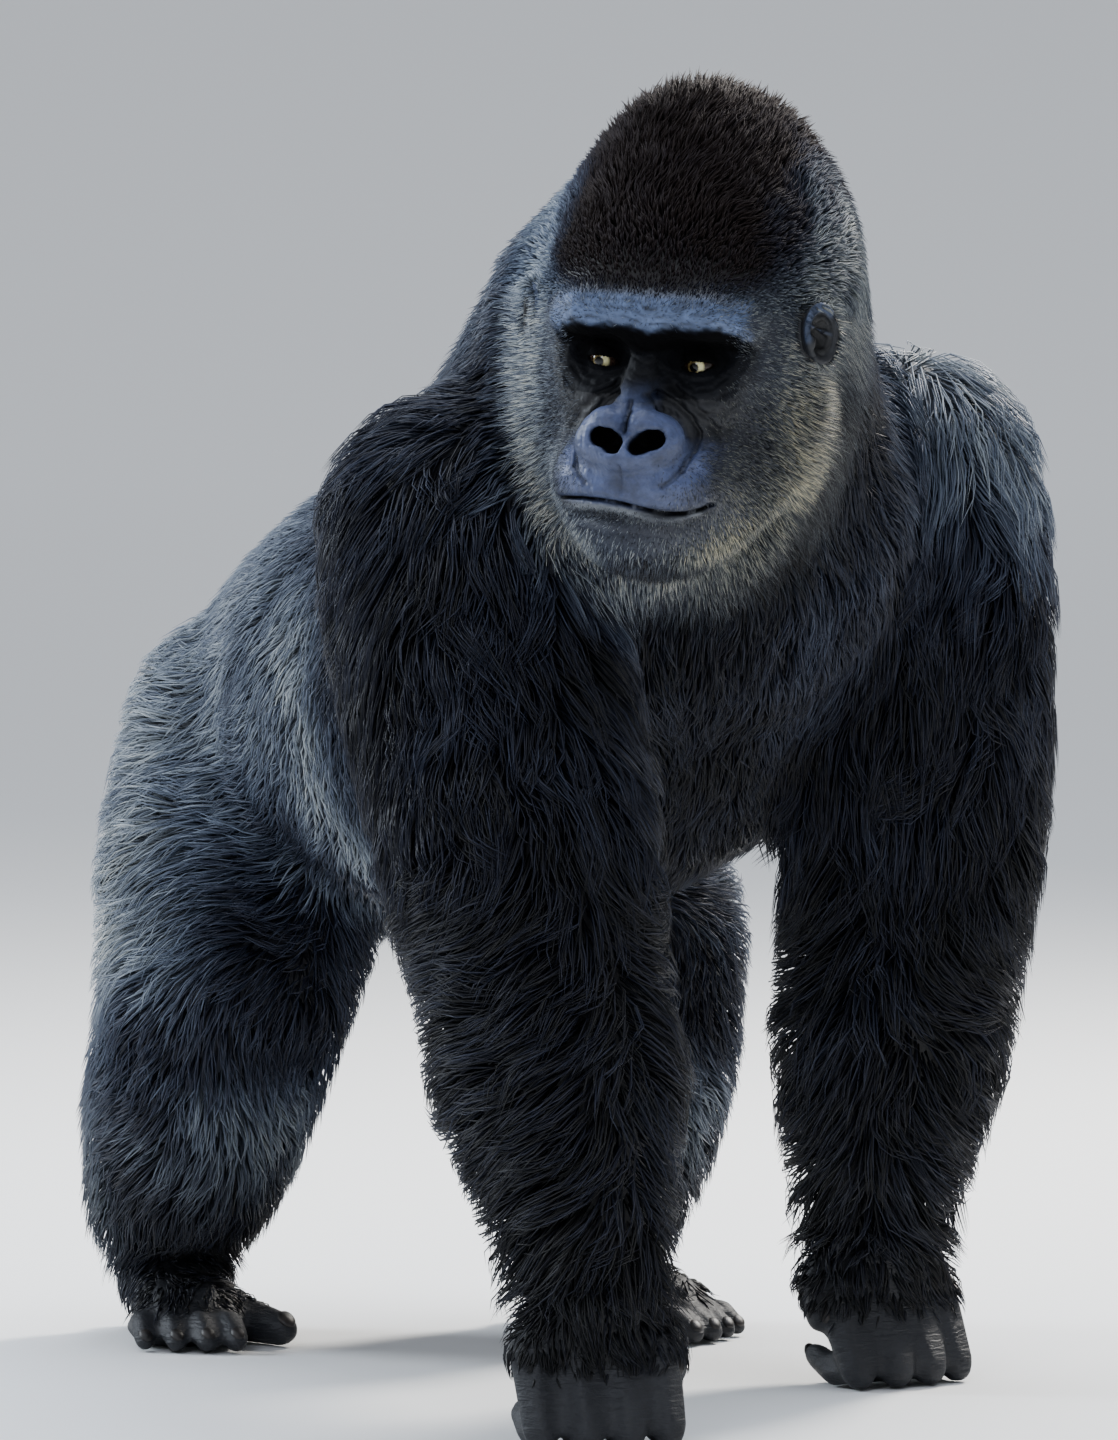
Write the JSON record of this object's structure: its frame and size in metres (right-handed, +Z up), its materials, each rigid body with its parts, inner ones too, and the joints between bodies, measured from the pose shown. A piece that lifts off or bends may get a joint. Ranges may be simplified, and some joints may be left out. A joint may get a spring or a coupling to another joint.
{
  "type": "gorilla",
  "caption": "Adult male gorilla on all fours, knuckles and soles on the floor, head turned to its right, one hand and the opposite foot a step ahead",
  "frame": {"origin": "middle of the box round the animal, at floor level", "axes": "+Z up; the trunk faces -Y, so the animal's left side is +X"},
  "size_m": [0.7564, 1.1724, 1.171],
  "materials": {
    "coat_black": "long black hair with a blue-grey sheen",
    "coat_grey": "short speckled grey hair",
    "coat_silver": "shaggy silver-grey hair",
    "bare_skin": "dark slate skin, soft sheen",
    "eye": "wet, dark amber-brown",
    "nail": "satin black-brown"
  },
  "bodies": {
    "root": {"head": "coat_grey", "face": "bare_skin", "neck": "coat_grey", "chest": "coat_black", "hips": "coat_silver", "ear_right": "bare_skin", "eye_right": "eye", "upper_arm_right": "coat_black", "forearm_right": "coat_black", "hand_right": "bare_skin", "thigh_right": "coat_silver", "lower_leg_right": "coat_grey", "foot_right": "bare_skin", "nail_index_right": "nail", "nail_middle_right": "nail", "nail_ring_right": "nail", "nail_little_right": "nail", "nail_thumb_right": "nail", "nail_toe_2_right": "nail", "nail_toe_3_right": "nail", "nail_toe_4_right": "nail", "nail_toe_5_right": "nail", "nail_big_toe_right": "nail", "ear_left": "bare_skin", "eye_left": "eye", "upper_arm_left": "coat_black", "forearm_left": "coat_black", "hand_left": "bare_skin", "thigh_left": "coat_silver", "lower_leg_left": "coat_grey", "foot_left": "bare_skin", "nail_index_left": "nail", "nail_middle_left": "nail", "nail_ring_left": "nail", "nail_little_left": "nail", "nail_thumb_left": "nail", "nail_toe_2_left": "nail", "nail_toe_3_left": "nail", "nail_toe_4_left": "nail", "nail_toe_5_left": "nail", "nail_big_toe_left": "nail"}
  },
  "joints": []
}
